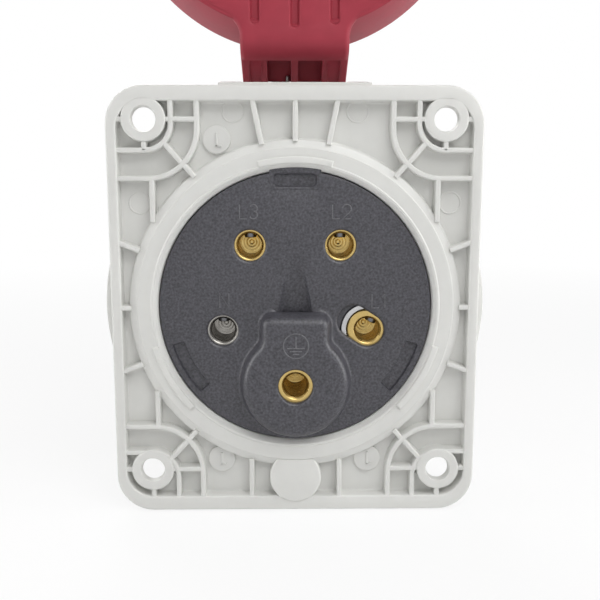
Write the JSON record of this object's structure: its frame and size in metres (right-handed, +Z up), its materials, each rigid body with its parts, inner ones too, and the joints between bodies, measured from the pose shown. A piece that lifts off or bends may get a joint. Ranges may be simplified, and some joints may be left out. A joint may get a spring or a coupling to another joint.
{
  "type": "panel socket",
  "caption": "Flanged industrial panel socket with a round plug collar, sleeve contacts, screw terminals behind and a hinged red lid, shown open.",
  "frame": {"origin": "on the socket's axis, in the plane of the flange's rear rim", "axes": "+Z up toward the lid's hinge, +Y out of the rear toward the panel, -Y out of the mouth"},
  "size_m": [0.0932, 0.052, 0.2053],
  "materials": {
    "grey_plastic": "satin moulded",
    "dark_plastic": "matte moulded",
    "red_plastic": "satin moulded",
    "brass": "turned",
    "nickel": "nickel plated",
    "steel": "zinc plated",
    "rubber": "matte"
  },
  "bodies": {
    "socket": {"housing": "grey_plastic", "terminal_plate": "dark_plastic", "front_carrier": "dark_plastic", "insert_seal": "rubber", "contact_l1": "brass", "contact_l2": "brass", "contact_l3": "brass", "contact_n": "nickel", "contact_pe": "brass", "spring_ring_l1": "steel", "spring_ring_l2": "steel", "spring_ring_l3": "steel", "spring_ring_n": "steel", "spring_ring_pe": "steel", "terminal_clip": "nickel", "hinge_pin": "steel", "lid_spring": "steel"},
    "lid_body": {"lid": "red_plastic", "lid_seal": "rubber"},
    "clamp_l1": {"screw_l1": "steel"},
    "clamp_l2": {"screw_l2": "steel"},
    "clamp_l3": {"screw_l3": "steel"},
    "clamp_n": {"screw_n": "steel"},
    "clamp_pe": {"screw_pe": "steel"}
  },
  "joints": [
    {"name": "lid_hinge", "type": "hinge", "parent": "socket", "child": "lid_body", "pos_m": [0, -0.0324, 0.0542], "axis": [1, 0, 0], "range_deg": [0, 180], "deforming": ["lid_spring"]},
    {"name": "clamp_l1_slide", "type": "slide", "parent": "socket", "child": "clamp_l1", "axis": [0.4695, 0, -0.8829], "range_m": [0, 0.004]},
    {"name": "clamp_l2_slide", "type": "slide", "parent": "socket", "child": "clamp_l2", "axis": [0, 0, -1], "range_m": [0, 0.004]},
    {"name": "clamp_l3_slide", "type": "slide", "parent": "socket", "child": "clamp_l3", "axis": [0, 0, -1], "range_m": [0, 0.004]},
    {"name": "clamp_n_slide", "type": "slide", "parent": "socket", "child": "clamp_n", "axis": [0, 0, -1], "range_m": [0, 0.004]},
    {"name": "clamp_pe_slide", "type": "slide", "parent": "socket", "child": "clamp_pe", "axis": [0, 0, -1], "range_m": [0, 0.004]}
  ]
}
